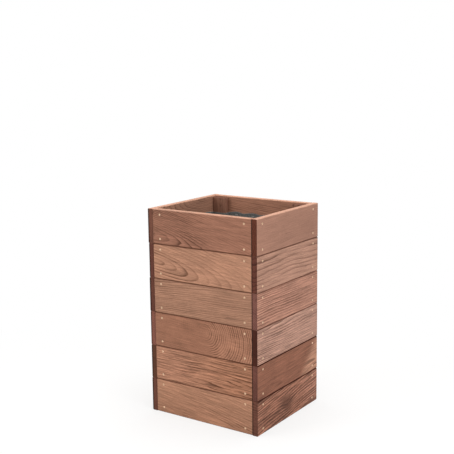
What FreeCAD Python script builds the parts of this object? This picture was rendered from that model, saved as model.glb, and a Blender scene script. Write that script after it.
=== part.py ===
import FreeCAD, Part
import math
import os

import Sketcher
from FreeCAD import Placement, Rotation, Vector

# Raised garden bed of stacked boards, open at the top, with a slatted floor and a liner.
# Millimetres, +Z up, origin on the ground under the middle of the bed, front wall towards -Y.

SIZES = {
    # Wall boards: all cut to one length, front and back boards between the side boards
    "board_length": 428,
    "board_height": 130,
    "board_thickness": 24,
    "course_count": 6,
    "edge_ease": 2,
    # Corner posts, laid flat against the front and back boards
    "post_width": 60,
    "post_thickness": 24,
    "post_foot_lift": 10,
    "post_top_drop": 6,
    # Countersunk wood screws; their many round sections are drawn with a few flat sides
    "screw_sides": 6,
    "screw_shank": 4,
    "screw_head": 8,
    "screw_head_rim": 0.4,
    "screw_sink": 0.3,
    "screw_play": 0.05,
    "wall_screw_length": 40,
    "wall_screw_edge": 20,
    "bearer_screw_length": 40,
    "slat_screw_length": 30,
    # Floor: two bearers on the posts, slats across them
    "bearer_thickness": 24,
    "bearer_height": 40,
    "bearer_lift": 30,
    "bearer_end_gap": 1,
    "slat_count": 5,
    "slat_thickness": 18,
    "slat_gap": 8,
    "slat_end_gap": 1,
    # Fleece liner, stapled to the top course
    "liner_wall": 1,
    "liner_play": 0.3,
    "liner_drop": 60,
    "staple_count": 4,
    "staple_wire": 0.7,
    "staple_width": 1.2,
    "staple_crown": 12,
    "staple_leg": 10,
    "staple_drop": 12,
    "staple_play": 0.05,
}

# Lengths that follow from the sizes, as expressions for the sheet
HALF_LENGTH = "(sizes.board_length / 2)"
HALF_WIDTH = "(sizes.board_length / 2 + sizes.board_thickness)"
RIM = "(sizes.course_count * sizes.board_height)"
POST_FACE = "(sizes.board_thickness + sizes.post_thickness)"
BEARER_FACE = f"({POST_FACE} + sizes.bearer_thickness)"
BEARER_TOP = "(sizes.bearer_lift + sizes.bearer_height)"
BEARER_MIDDLE = f"({HALF_LENGTH} - {BEARER_FACE} + sizes.bearer_thickness / 2)"
BEARER_SCREW_HEIGHT = "(sizes.bearer_lift + sizes.bearer_height / 3)"
FLOOR_TOP = f"({BEARER_TOP} + sizes.slat_thickness)"
SLAT_WIDTH = "((sizes.board_length - sizes.slat_gap) / sizes.slat_count - sizes.slat_gap)"
SLAT_PITCH = f"({SLAT_WIDTH} + sizes.slat_gap)"
HEAD_DEPTH = "((sizes.screw_head - sizes.screw_shank) / 2)"
HOLE = "(sizes.screw_shank + 2 * sizes.screw_play)"
HEAD_ROOM = "(sizes.screw_head_rim + sizes.screw_sink + sizes.screw_play)"
COUNTERSINK = f"(sizes.screw_head + 2 * {HEAD_ROOM})"
LINER_TOP = f"({RIM} - sizes.liner_drop)"
LINER_FACE = "(sizes.board_thickness + sizes.liner_play + sizes.liner_wall)"
STAPLE_HEIGHT = f"({LINER_TOP} - sizes.staple_drop)"

# Each wall has a frame of its own: x along the wall, y inwards from its outer face, z up.
# A wall has its turn about z, the middle of its foot, the distance of its screws from the
# board's end, and the clear run between its posts.
FLAT_SCREWS = "(sizes.post_width / 2)"
EDGE_SCREWS = "(sizes.board_thickness + sizes.post_thickness / 2)"
LONG_RUN = "(sizes.board_length - 2 * sizes.post_width)"
SHORT_RUN = f"(sizes.board_length - 2 * {POST_FACE})"
WALLS = {
    "front": {
        "turn": 0,
        "foot": ("0", f"-{HALF_LENGTH}"),
        "screw_inset": FLAT_SCREWS,
        "clear_run": LONG_RUN,
    },
    "right": {
        "turn": 90,
        "foot": (HALF_WIDTH, "0"),
        "screw_inset": EDGE_SCREWS,
        "clear_run": SHORT_RUN,
    },
    "back": {
        "turn": 180,
        "foot": ("0", HALF_LENGTH),
        "screw_inset": FLAT_SCREWS,
        "clear_run": LONG_RUN,
    },
    "left": {
        "turn": 270,
        "foot": (f"-{HALF_WIDTH}", "0"),
        "screw_inset": EDGE_SCREWS,
        "clear_run": SHORT_RUN,
    },
}

doc = FreeCAD.newDocument("raised_garden_bed")
sheet = doc.addObject("Spreadsheet::Sheet", "sizes")
for row, (name, value) in enumerate(SIZES.items(), start=1):
    sheet.set(f"A{row}", name)
    sheet.set(f"B{row}", str(value))
    sheet.setAlias(f"B{row}", name)
doc.recompute()

course_count = int(sheet.get("course_count"))
slat_count = int(sheet.get("slat_count"))
staple_count = int(sheet.get("staple_count"))
screw_sides = int(sheet.get("screw_sides"))
bodies = []


def new_body(label, turn=0, base=("0", "0", "0")):
    """A body turned about z, with its base bound to the sheet."""
    body = doc.addObject("PartDesign::Body", label)
    body.Label = label
    body.Placement = Placement(Vector(), Rotation(Vector(0, 0, 1), turn))
    for axis, expression in zip("xyz", base):
        body.setExpression(f"Placement.Base.{axis}", expression)
    bodies.append(body)
    return body


def wall_body(label, wall, height="0"):
    """A body in the frame of one wall."""
    along, across = WALLS[wall]["foot"]
    return new_body(label, WALLS[wall]["turn"], (along, across, height))


def copy_of(source, label, wall, height="0"):
    """A body that repeats another wall's piece in the frame of one wall."""
    body = wall_body(label, wall, height)
    repeat = body.newObject("PartDesign::FeatureBase", "repeat")
    repeat.BaseFeature = source
    body.Tip = repeat


def origin_feature(body, role):
    return next(item for item in body.Origin.OriginFeatures if item.Role == role)


def new_sketch(body, name, role, offset=("0", "0", "0")):
    """A sketch on one of the body's origin planes; the offset is in the plane's own axes."""
    sketch = body.newObject("Sketcher::SketchObject", name)
    sketch.AttachmentSupport = [(origin_feature(body, role), "")]
    sketch.MapMode = "FlatFace"
    for axis, expression in zip("xyz", offset):
        sketch.setExpression(f"AttachmentOffset.Base.{axis}", expression)
    return sketch


def bind_point(sketch, geometry, position, place):
    """Ties a point of a sketch to the sheet, by its two distances from the sketch's origin."""
    point = sketch.getPoint(geometry, position)
    ties = [
        Sketcher.Constraint("DistanceX", -1, 1, geometry, position, point.x),
        Sketcher.Constraint("DistanceY", -1, 1, geometry, position, point.y),
    ]
    for index, expression in zip(sketch.addConstraint(ties), place):
        sketch.setExpression(f"Constraints[{index}]", expression)


def chain_of_lines(sketch, corners):
    """A closed chain of lines: its lines' numbers, and the constraints that join them."""
    lines = [Part.LineSegment(start, end) for start, end in zip(corners, corners[1:] + corners[:1])]
    numbers = list(sketch.addGeometry(lines))
    after = numbers[1:] + numbers[:1]
    joins = [Sketcher.Constraint("Coincident", one, 2, two, 1) for one, two in zip(numbers, after)]
    return numbers, joins


def add_outline(sketch, places):
    """A closed outline through points that are bound to the sheet."""
    corners = [Vector(*(sketch.evalExpression(part) for part in place), 0) for place in places]
    lines, joins = chain_of_lines(sketch, corners)
    sketch.addConstraint(joins)
    for line, place in zip(lines, places):
        bind_point(sketch, line, 1, place)


def add_rectangle(sketch, left, bottom, right, top):
    add_outline(sketch, [(left, bottom), (right, bottom), (right, top), (left, top)])


def add_round(sketch, across, up, diameter):
    """A screw's round section as equal flat sides about a circle of the given diameter."""
    centre = Vector(sketch.evalExpression(across), sketch.evalExpression(up), 0)
    radius = sketch.evalExpression(diameter) / 2
    half_side = math.pi / screw_sides
    corners = []
    for index in range(screw_sides):
        angle = half_side * (2 * index - 1) - math.pi / 2
        reach = radius / math.cos(half_side)
        corners.append(centre + Vector(reach * math.cos(angle), reach * math.sin(angle), 0))
    lines, constraints = chain_of_lines(sketch, corners)
    circle = sketch.addGeometry(Part.Circle(centre, Vector(0, 0, 1), radius), True)
    constraints += [Sketcher.Constraint("Tangent", line, circle) for line in lines]
    constraints += [Sketcher.Constraint("Equal", lines[0], line) for line in lines[1:]]
    constraints += [Sketcher.Constraint("Horizontal", lines[0])]
    constraints += [Sketcher.Constraint("Diameter", circle, 2 * radius)]
    size = sketch.addConstraint(constraints)[-1]
    sketch.setExpression(f"Constraints[{size}]", diameter)
    bind_point(sketch, circle, 3, (across, up))


def pad(body, sketch, length, symmetric=False, turned=False):
    feature = body.newObject("PartDesign::Pad", "pad")
    feature.Profile = sketch
    feature.SideType = "Symmetric" if symmetric else "One side"
    feature.Reversed = turned
    feature.setExpression("Length", length)
    doc.recompute()
    return feature


def pocket(body, sketch, depth, turned=False):
    """A cut against the sketch's normal, or along it when turned."""
    feature = body.newObject("PartDesign::Pocket", "pocket")
    feature.Profile = sketch
    feature.Reversed = turned
    feature.setExpression("Length", depth)
    doc.recompute()
    return feature


def cut_through(body, sketch):
    """A cut through the whole body, both ways from the sketch."""
    feature = body.newObject("PartDesign::Pocket", "through_cut")
    feature.Profile = sketch
    feature.Type = "ThroughAll"
    feature.SideType = "Symmetric"
    doc.recompute()
    return feature


def edges_along(feature, axis):
    """The names of the feature's edges that lie along an axis."""
    names = []
    for number, edge in enumerate(feature.Shape.Edges, start=1):
        if edge.tangentAt(edge.FirstParameter).cross(axis).Length < 1e-6:
            names.append(f"Edge{number}")
    return names


def far_edges(feature, sketch):
    """The names of the feature's edges that lie furthest from its sketch."""
    plane = sketch.Placement
    depths = [abs(plane.inverse().multVec(edge.CenterOfMass).z) for edge in feature.Shape.Edges]
    furthest = max(depths) - 1e-6
    return [f"Edge{number}" for number, depth in enumerate(depths, start=1) if depth > furthest]


def bevel(body, base, edges, size):
    feature = body.newObject("PartDesign::Chamfer", "bevel")
    feature.Base = (base, edges)
    feature.setExpression("Size", size)
    doc.recompute()
    return feature


def hole_rims(feature, face_at):
    """The names of the edges round the holes in the face at a point."""
    names = []
    face = min(feature.Shape.Faces, key=lambda one: one.distToShape(Part.Vertex(face_at))[0])
    rims = [edge for wire in face.Wires if not wire.isSame(face.OuterWire) for edge in wire.Edges]
    for number, edge in enumerate(feature.Shape.Edges, start=1):
        if any(edge.isSame(rim) for rim in rims):
            names.append(f"Edge{number}")
    return names


def screw_holes(body, role, lift, places):
    """Countersunk holes right through the wood, from a plane lifted to the wood's face."""
    sketch = new_sketch(body, "screw_holes", role, ("0", "0", lift))
    for across, up in places:
        add_round(sketch, across, up, HOLE)
    drilled = cut_through(body, sketch)
    across, up = (sketch.evalExpression(part) for part in places[0])
    edge = sketch.evalExpression(f"{HOLE} / 2")
    rims = hole_rims(drilled, sketch.Placement.multVec(Vector(across, up - 1.2 * edge, 0)))
    bevel(body, drilled, rims, f"({COUNTERSINK} - {HOLE}) / 2")


def pilot_holes(body, role, lift, places, screw_length, wood, turned=False):
    """Blind holes for the part of a screw that comes out of the wood in front."""
    sketch = new_sketch(body, "pilot_holes", role, ("0", "0", lift))
    for across, up in places:
        add_round(sketch, across, up, HOLE)
    depth = f"{screw_length} + sizes.screw_sink - {wood} + sizes.screw_play"
    return pocket(body, sketch, depth, turned)


def pattern(body, role, count, spacing, originals=()):
    """Copies at a steady spacing along one of the body's axes."""
    feature = body.newObject("PartDesign::LinearPattern", "pattern")
    feature.Originals = list(originals)
    feature.Direction = (origin_feature(body, role), [""])
    feature.Mode = "Spacing"
    feature.setExpression("Offset", spacing)
    feature.setExpression("Occurrences", count)
    return feature


def screw_group(body, role, lift, first, length, steps, turned):
    """Countersunk screws with their heads on a lifted plane: the first one, then steps from it."""
    top = ("0", "0", lift)
    disc = new_sketch(body, "head", role, top)
    add_round(disc, *first, "sizes.screw_head")
    head = pad(body, disc, f"sizes.screw_head_rim + {HEAD_DEPTH}", turned=turned)
    bevel(body, head, far_edges(head, disc), HEAD_DEPTH)
    shank = new_sketch(body, "shank", role, top)
    add_round(shank, *first, "sizes.screw_shank")
    pad(body, shank, length, turned=turned)
    grid = body.newObject("PartDesign::MultiTransform", "screw_grid")
    grid.TransformMode = "Whole shape"
    grid.Transformations = [pattern(body, axis, count, gap) for axis, count, gap in steps]
    body.Tip = grid
    doc.recompute()
    return body


def staple_step(wall):
    return f"({WALLS[wall]['clear_run']} / sizes.staple_count)"


def first_staple(wall):
    return f"(({staple_step(wall)} - {WALLS[wall]['clear_run']}) / 2)"


def add_staple_slots(sketch, wall):
    """A slot for each staple leg of one wall."""
    half_width = "(sizes.staple_width / 2 + sizes.staple_play)"
    outside = "(sizes.staple_crown / 2 + sizes.staple_play)"
    inside = "(sizes.staple_crown / 2 - sizes.staple_wire - sizes.staple_play)"
    bottom, top = f"{STAPLE_HEIGHT} - {half_width}", f"{STAPLE_HEIGHT} + {half_width}"
    for place in range(staple_count):
        middle = f"{first_staple(wall)} + {place} * {staple_step(wall)}"
        add_rectangle(sketch, f"{middle} - {outside}", bottom, f"{middle} - {inside}", top)
        add_rectangle(sketch, f"{middle} + {inside}", bottom, f"{middle} + {outside}", top)


def wall_board(wall, course):
    """A board with eased long edges and two countersunk holes at each end."""
    foot = f"({course - 1} * sizes.board_height)"
    body = wall_body(f"{wall}_board_{course}", wall, foot)
    section = new_sketch(body, "section", "YZ_Plane")
    add_rectangle(section, "0", "0", "sizes.board_thickness", "sizes.board_height")
    plank = pad(body, section, "sizes.board_length", symmetric=True)
    bevel(body, plank, edges_along(plank, Vector(1, 0, 0)), "sizes.edge_ease")
    reach = f"({HALF_LENGTH} - {WALLS[wall]['screw_inset']})"
    low, high = "sizes.wall_screw_edge", "sizes.board_height - sizes.wall_screw_edge"
    corners = [(f"-{reach}", low), (reach, low), (f"-{reach}", high), (reach, high)]
    screw_holes(body, "XZ_Plane", "0", corners)
    if course == course_count:
        inner_face = ("0", f"-{foot}", "-sizes.board_thickness")
        legs = new_sketch(body, "staple_slots", "XZ_Plane", inner_face)
        add_staple_slots(legs, wall)
        skin = "(sizes.liner_play + sizes.liner_wall)"
        pocket(body, legs, f"sizes.staple_leg - {skin} + sizes.staple_play", turned=True)
    return body


def corner_post(label, wall, end):
    """A post at one end of a wall ("-" or "" along it), with pilot holes in three faces."""
    body = wall_body(label, wall)
    section = new_sketch(body, "section", "XY_Plane", ("0", "0", "sizes.post_foot_lift"))
    flank = f"{end}{HALF_LENGTH}"
    inner = f"{end}({HALF_LENGTH} - sizes.post_width)"
    add_rectangle(section, flank, "sizes.board_thickness", inner, POST_FACE)
    stick = pad(body, section, f"{RIM} - sizes.post_top_drop - sizes.post_foot_lift")
    bevel(body, stick, edges_along(stick, Vector(0, 0, 1)), "sizes.edge_ease")

    heights = ("sizes.wall_screw_edge", "(sizes.board_height - sizes.wall_screw_edge)")
    wall_places = [(f"{end}({HALF_LENGTH} - {FLAT_SCREWS})", height) for height in heights]
    side_places = [(EDGE_SCREWS, height) for height in heights]
    screw = ("sizes.wall_screw_length", "sizes.board_thickness")
    rows = [
        pilot_holes(body, "XZ_Plane", "-sizes.board_thickness", wall_places, *screw),
        pilot_holes(body, "YZ_Plane", flank, side_places, *screw, turned=end == "-"),
    ]
    body.Tip = pattern(body, "Z_Axis", "sizes.course_count", "sizes.board_height", rows)
    doc.recompute()

    screw = ("sizes.bearer_screw_length", "sizes.bearer_thickness")
    pilot_holes(body, "XZ_Plane", f"-{POST_FACE}", bearer_screws(end), *screw, turned=True)
    return body


def bearer_screws(end):
    """The two screws at one end of a bearer, over the quarters of the post."""
    middle = f"({HALF_LENGTH} - sizes.post_width / 2)"
    return [
        (f"{end}({middle} - sizes.post_width / 4)", BEARER_SCREW_HEIGHT),
        (f"{end}({middle} + sizes.post_width / 4)", BEARER_SCREW_HEIGHT),
    ]


def slat_middle(slat):
    return f"(({slat} - (sizes.slat_count - 1) / 2) * {SLAT_PITCH})"


def floor_bearer(wall):
    """A rail across a wall's two posts, drilled for its own screws and the slats'."""
    body = wall_body(f"{wall}_bearer", wall)
    section = new_sketch(body, "section", "YZ_Plane")
    add_rectangle(section, POST_FACE, "sizes.bearer_lift", BEARER_FACE, BEARER_TOP)
    rail = pad(body, section, "sizes.board_length - 2 * sizes.bearer_end_gap", symmetric=True)
    bevel(body, rail, edges_along(rail, Vector(1, 0, 0)), "sizes.edge_ease")
    ends = bearer_screws("-") + bearer_screws("")
    screw_holes(body, "XZ_Plane", f"-{BEARER_FACE}", ends)
    middle = f"{BEARER_FACE} - sizes.bearer_thickness / 2"
    slats = [(slat_middle(slat), middle) for slat in range(slat_count)]
    screw = ("sizes.slat_screw_length", "sizes.slat_thickness")
    pilot_holes(body, "XY_Plane", BEARER_TOP, slats, *screw)
    return body


def floor_slat(slat):
    """A slat across both bearers, shorter where it would meet the posts."""
    middle = slat_middle(slat)
    body = new_body(f"floor_slat_{slat + 1}", base=(middle, "0", BEARER_TOP))
    edge = f"abs({middle}) + {SLAT_WIDTH} / 2 + sizes.slat_end_gap"
    stop = f"({edge} > {HALF_LENGTH} - sizes.post_width ? {POST_FACE} : sizes.board_thickness)"
    section = new_sketch(body, "section", "XZ_Plane")
    add_rectangle(section, f"-{SLAT_WIDTH} / 2", "0", f"{SLAT_WIDTH} / 2", "sizes.slat_thickness")
    length = f"sizes.board_length - 2 * ({stop} + sizes.slat_end_gap)"
    strip = pad(body, section, length, symmetric=True)
    bevel(body, strip, edges_along(strip, Vector(0, 1, 0)), "sizes.edge_ease")
    ends = [("0", f"-{BEARER_MIDDLE}"), ("0", BEARER_MIDDLE)]
    screw_holes(body, "XY_Plane", "sizes.slat_thickness", ends)


def fleece_liner():
    """An open bag that follows the boards, wraps the posts and stands on the slats."""
    foot = f"({FLOOR_TOP} + sizes.liner_play)"
    body = new_body("liner", base=("0", "0", foot))
    wide = f"({HALF_LENGTH} - sizes.liner_play)"
    deep = f"({HALF_LENGTH} - sizes.board_thickness - sizes.liner_play)"
    past_post = f"({HALF_LENGTH} - sizes.post_width - sizes.liner_play)"
    before_post = f"({HALF_LENGTH} - {POST_FACE} - sizes.liner_play)"
    plan = new_sketch(body, "plan", "XY_Plane")
    add_rectangle(plan, f"-{wide}", f"-{deep}", wide, deep)
    pad(body, plan, f"{LINER_TOP} - {foot}")
    corners = new_sketch(body, "post_notches", "XY_Plane")
    for side in ("-", ""):
        for end in ("-", ""):
            post_corner = (f"{side}{past_post}", f"{end}{before_post}")
            add_rectangle(corners, *post_corner, f"{side}{wide}", f"{end}{deep}")
    notched = cut_through(body, corners)
    folded = bevel(body, notched, edges_along(notched, Vector(0, 0, 1)), "sizes.edge_ease")
    faces = folded.Shape.Faces
    mouth = max(range(len(faces)), key=lambda number: faces[number].CenterOfMass.z)
    bag = body.newObject("PartDesign::Thickness", "bag")
    bag.Base = (folded, [f"Face{mouth + 1}"])
    bag.Mode = "Skin"
    bag.Join = "Intersection"
    bag.Reversed = True
    bag.setExpression("Value", "sizes.liner_wall")
    doc.recompute()
    for role, wall in (("XZ_Plane", "front"), ("YZ_Plane", "right")):
        legs = new_sketch(body, f"{wall}_staple_slots", role, ("0", f"-{foot}", "0"))
        add_staple_slots(legs, wall)
        cut_through(body, legs)


def liner_staples(wall):
    """Flat wire staples: crown on the liner, legs through it into the top board."""
    body = wall_body(f"{wall}_liner_staples", wall)
    crown = (first_staple(wall), LINER_FACE, STAPLE_HEIGHT)
    shape = new_sketch(body, "bent_wire", "XY_Plane", crown)
    outside = "(sizes.staple_crown / 2)"
    inside = "(sizes.staple_crown / 2 - sizes.staple_wire)"
    bent_wire = [
        (f"-{outside}", "-sizes.staple_leg"),
        (f"-{inside}", "-sizes.staple_leg"),
        (f"-{inside}", "0"),
        (inside, "0"),
        (inside, "-sizes.staple_leg"),
        (outside, "-sizes.staple_leg"),
        (outside, "sizes.staple_wire"),
        (f"-{outside}", "sizes.staple_wire"),
    ]
    add_outline(shape, bent_wire)
    staple = pad(body, shape, "sizes.staple_width", symmetric=True)
    body.Tip = pattern(body, "X_Axis", "sizes.staple_count", staple_step(wall), [staple])
    doc.recompute()
    return body


def wall_screws(wall):
    reach = f"({HALF_LENGTH} - {WALLS[wall]['screw_inset']})"
    steps = [
        ("Z_Axis", "2", "sizes.board_height - 2 * sizes.wall_screw_edge"),
        ("Z_Axis", "sizes.course_count", "sizes.board_height"),
        ("X_Axis", "2", f"2 * {reach}"),
    ]
    body = wall_body(f"{wall}_wall_screws", wall)
    first = (f"-{reach}", "sizes.wall_screw_edge")
    length = "sizes.wall_screw_length"
    return screw_group(body, "XZ_Plane", "-sizes.screw_sink", first, length, steps, turned=True)


def bearer_screw_group(wall):
    steps = [
        ("X_Axis", "2", "sizes.post_width / 2"),
        ("X_Axis", "2", "sizes.board_length - sizes.post_width"),
    ]
    body = wall_body(f"{wall}_bearer_screws", wall)
    lift = f"sizes.screw_sink - {BEARER_FACE}"
    first = bearer_screws("-")[1]
    length = "sizes.bearer_screw_length"
    return screw_group(body, "XZ_Plane", lift, first, length, steps, turned=False)


def slat_screw_group():
    steps = [
        ("X_Axis", "sizes.slat_count", SLAT_PITCH),
        ("Y_Axis", "2", f"2 * {BEARER_MIDDLE}"),
    ]
    body = new_body("slat_screws")
    lift = f"{FLOOR_TOP} - sizes.screw_sink"
    first = (slat_middle(0), f"-{BEARER_MIDDLE}")
    length = "sizes.slat_screw_length"
    screw_group(body, "XY_Plane", lift, first, length, steps, turned=True)


# The back wall repeats the front one, and the left wall the right one, half a turn round
for wall, opposite in (("front", "back"), ("right", "left")):
    plain = wall_board(wall, 1)
    copy_of(plain, f"{opposite}_board_1", opposite)
    for course in range(2, course_count):
        height = f"{course - 1} * sizes.board_height"
        copy_of(plain, f"{wall}_board_{course}", wall, height)
        copy_of(plain, f"{opposite}_board_{course}", opposite, height)
    top = wall_board(wall, course_count)
    height = f"{course_count - 1} * sizes.board_height"
    copy_of(top, f"{opposite}_board_{course_count}", opposite, height)
    copy_of(wall_screws(wall), f"{opposite}_wall_screws", opposite)
    copy_of(liner_staples(wall), f"{opposite}_liner_staples", opposite)

copy_of(corner_post("front_left_post", "front", "-"), "back_right_post", "back")
copy_of(corner_post("front_right_post", "front", ""), "back_left_post", "back")
copy_of(floor_bearer("front"), "back_bearer", "back")
copy_of(bearer_screw_group("front"), "back_bearer_screws", "back")
for slat in range(slat_count):
    floor_slat(slat)
slat_screw_group()
fleece_liner()

doc.recompute()
for item in doc.Objects:
    if "Invalid" in item.State or "Error" in item.State:
        raise RuntimeError(f"{item.Label} failed: {item.State}")
    if item.TypeId == "Sketcher::SketchObject" and not item.FullyConstrained:
        raise RuntimeError(f"{item.Label} is not fully constrained")
    if item.TypeId == "PartDesign::Pocket":
        if item.Shape.Volume > item.BaseFeature.Shape.Volume - 1e-3:
            raise RuntimeError(f"{item.Label} cuts nothing")
for body in bodies:
    if body.Shape.isNull() or not body.Shape.isValid():
        raise RuntimeError(f"{body.Label} has no valid shape")

os.makedirs("parts", exist_ok=True)
for body in bodies:
    body.Shape.exportStep(f"parts/{body.Label}.step")
print(len(bodies), "sub-parts,", sum(len(body.Shape.Solids) for body in bodies), "solids")
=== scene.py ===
import math
import random

import bmesh
import bpy
from mathutils import Matrix, Vector, noise


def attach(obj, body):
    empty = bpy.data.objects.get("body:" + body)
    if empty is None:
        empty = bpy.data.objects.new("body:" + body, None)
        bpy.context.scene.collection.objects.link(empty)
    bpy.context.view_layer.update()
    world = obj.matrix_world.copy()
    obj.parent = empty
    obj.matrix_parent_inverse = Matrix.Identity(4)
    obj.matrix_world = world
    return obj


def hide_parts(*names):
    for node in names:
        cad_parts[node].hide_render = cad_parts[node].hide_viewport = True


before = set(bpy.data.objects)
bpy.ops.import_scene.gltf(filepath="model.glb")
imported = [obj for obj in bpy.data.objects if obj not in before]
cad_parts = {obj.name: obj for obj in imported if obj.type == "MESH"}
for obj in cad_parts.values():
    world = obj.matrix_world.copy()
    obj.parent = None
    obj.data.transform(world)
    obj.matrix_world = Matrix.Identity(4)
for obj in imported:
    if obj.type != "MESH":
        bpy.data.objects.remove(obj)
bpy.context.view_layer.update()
mm = 0.001
quarter = math.pi / 2
white = (1, 1, 1, 1)
scene = bpy.context.scene
print("frame loaded:", len(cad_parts), "CAD nodes")


# a node tree on the bench, with short words for the nodes that come up again and again

class Bench:
    def __init__(self, tree):
        self.tree = tree

    def feed(self, socket, value):
        if isinstance(value, bpy.types.NodeSocket):
            self.tree.links.new(value, socket)
        else:
            socket.default_value = value

    def add(self, kind, values=None, **settings):
        node = self.tree.nodes.new(kind)
        for name, value in settings.items():
            setattr(node, name, value)
        for name, value in (values or {}).items():
            self.feed(node.inputs[name], value)
        return node.outputs

    def shape(self, kind, values=None, **settings):
        return self.add("GeometryNode" + kind, values, **settings)[0]

    def maths(self, operation, *values, clamp=False):
        return self.add("ShaderNodeMath", dict(enumerate(values)), operation=operation, use_clamp=clamp)[0]

    def plus(self, first, second):
        return self.maths("ADD", first, second)

    def minus(self, first, second):
        return self.maths("SUBTRACT", first, second)

    def times(self, first, second):
        return self.maths("MULTIPLY", first, second)

    def over(self, first, second):
        return self.maths("DIVIDE", first, second)

    def without(self, share):
        return self.minus(1.0, share)

    def vectors(self, operation, *values):
        outputs = self.add("ShaderNodeVectorMath", dict(enumerate(values)), operation=operation)
        return outputs["Value" if operation == "LENGTH" else "Vector"]

    def scaled(self, vector, by):
        return self.vectors("MULTIPLY", vector, by)

    def ramp(self, value, low, high, start=0.0, end=1.0, kind="SMOOTHSTEP"):
        limits = {"Value": value, "From Min": low, "From Max": high, "To Min": start, "To Max": end}
        return self.add("ShaderNodeMapRange", limits, interpolation_type=kind)[0]

    def slope(self, value, low, high, start, end):
        return self.ramp(value, low, high, start, end, "LINEAR")

    def parts(self, vector):
        return self.add("ShaderNodeSeparateXYZ", {0: vector})

    def combine(self, x=0.0, y=0.0, z=0.0):
        return self.add("ShaderNodeCombineXYZ", {"X": x, "Y": y, "Z": z})[0]

    def cloudy(self, vector, scale=1.0, detail=2.0, roughness=0.5):
        return self.add("ShaderNodeTexNoise", {
            "Vector": vector, "Scale": scale, "Detail": detail, "Roughness": roughness})

    def mixColour(self, factor, first, second):
        return self.add("ShaderNodeMix", {0: factor, 6: first, 7: second}, data_type="RGBA")[2]

    def coords(self):
        return self.add("ShaderNodeTexCoord")["Object"]

    def relief(self, shader, strength, distance, height):
        bump = self.add("ShaderNodeBump", {"Strength": strength, "Distance": distance, "Height": height})
        self.feed(shader["Normal"], bump[0])

    def weighed(self, marks, weights):
        total = 0.0
        for label, weight in weights.items():
            total = self.plus(total, self.times(marks[label], weight))
        return total


def linear(colour):
    # from the 0 to 255 of a colour picker to the light that a shader works with
    shares = [c / 255 for c in colour]
    return tuple(c / 12.92 if c <= 0.04045 else ((c + 0.055) / 1.055) ** 2.4 for c in shares) + (1.0,)


def newFinish(name):
    material = bpy.data.materials.new(name)
    material.use_nodes = True
    return material, Bench(material.node_tree), material.node_tree.nodes["Principled BSDF"].inputs


def newTree(name, sockets):
    tree = bpy.data.node_groups.new(name, "GeometryNodeTree")
    tree.interface.new_socket("Geometry", in_out="INPUT", socket_type="NodeSocketGeometry")
    for kind, labels in sockets.items():
        for label in labels:
            tree.interface.new_socket(label, in_out="INPUT", socket_type="NodeSocket" + kind)
    tree.interface.new_socket("Geometry", in_out="OUTPUT", socket_type="NodeSocketGeometry")
    return Bench(tree), tree.nodes.new("NodeGroupInput").outputs


def endTree(b, mesh, finish):
    real = b.shape("RealizeInstances", {"Geometry": mesh})
    done = b.shape("SetMaterial", {"Geometry": real, "Material": finish})
    b.tree.links.new(done, b.tree.nodes.new("NodeGroupOutput").inputs[0])
    return b.tree


def growMesh(piece, tree, values):
    # inputs go in by identifier, then the result becomes a plain mesh
    modifier = piece.modifiers.new("grow", "NODES")
    modifier.node_group = tree
    names = {s.name: s.identifier for s in tree.interface.items_tree if s.in_out == "INPUT"}
    for name, value in values.items():
        modifier[names[name]] = value
    settle(piece)


def settle(piece):
    graph = bpy.context.evaluated_depsgraph_get()
    made = bpy.data.meshes.new_from_object(
        piece.evaluated_get(graph), preserve_all_data_layers=True, depsgraph=graph)
    before = piece.data
    piece.modifiers.clear()
    piece.data = made
    bpy.data.meshes.remove(before)
    made.name = piece.name


def newMesh(name, points, edges=(), faces=()):
    # points in mm
    mesh = bpy.data.meshes.new(name)
    mesh.from_pydata([Vector(p) * mm for p in points], edges, faces)
    return mesh


def faceOutwards(mesh):
    build = bmesh.new()
    build.from_mesh(mesh)
    bmesh.ops.recalc_face_normals(build, faces=build.faces)
    build.to_mesh(mesh)
    build.free()


def newPiece(name, data=None):
    piece = bpy.data.objects.new(name, data or bpy.data.meshes.new(name))
    scene.collection.objects.link(piece)
    return piece


def hand(piece, slot, *nodes):
    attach(piece, "root")
    if nodes:
        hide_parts(*nodes)


# camera, at the height and angle of the photograph

viewPoint = {
    "place": (1.8308, -2.7084, 1.2946),
    "heading": -34.521,   # degrees, from +Y towards +X
    "tilt": -10.33,
    "roll": -0.644,
    "lens": 70.54,
    "sensor": 36,
}


def setCamera():
    data = bpy.data.cameras.new("viewCamera")
    data.sensor_width = viewPoint["sensor"]
    data.lens = viewPoint["lens"]
    camera = newPiece("viewCamera", data)
    camera.matrix_world = (
        Matrix.Translation(viewPoint["place"])
        @ Matrix.Rotation(math.radians(-viewPoint["heading"]), 4, "Z")
        @ Matrix.Rotation(math.radians(90 + viewPoint["tilt"]), 4, "X")
        @ Matrix.Rotation(math.radians(viewPoint["roll"]), 4, "Z"))
    scene.camera = camera
    scene.view_settings.view_transform = "Standard"


setCamera()
print("camera set")


# studio: pale floor, white surroundings, soft lamps

studio = {
    "floorSize": 60.0,
    "floorColour": (242, 241, 239),
    "floorRough": 0.9,
    "floorShine": 0.1,
    "mottle": (3.0, 3.0),   # scale and detail of its faint patches
    "mottleMix": (0.3, 0.7, 0, 0.04),
    "floorGlow": 0.72,   # share of the near floor that is plain white to the eye, the rest keeps the shadow
    "shadowReach": (0.3, 1.5),
    "skyLight": 0.5,
    "lamps": {
        "windowLamp": {"place": (-2.3, -3.0, 2.7), "aim": (0, 0, 0.4), "size": 2.4, "power": 62},
        "sideLamp": {"place": (3.4, -0.9, 2.3), "aim": (0, 0, 0.4), "size": 2.4, "power": 44},
        "topLamp": {"place": (0.2, 0.3, 3.6), "aim": (0, 0, 0.6), "size": 2.2, "power": 78},
    },
}


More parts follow.
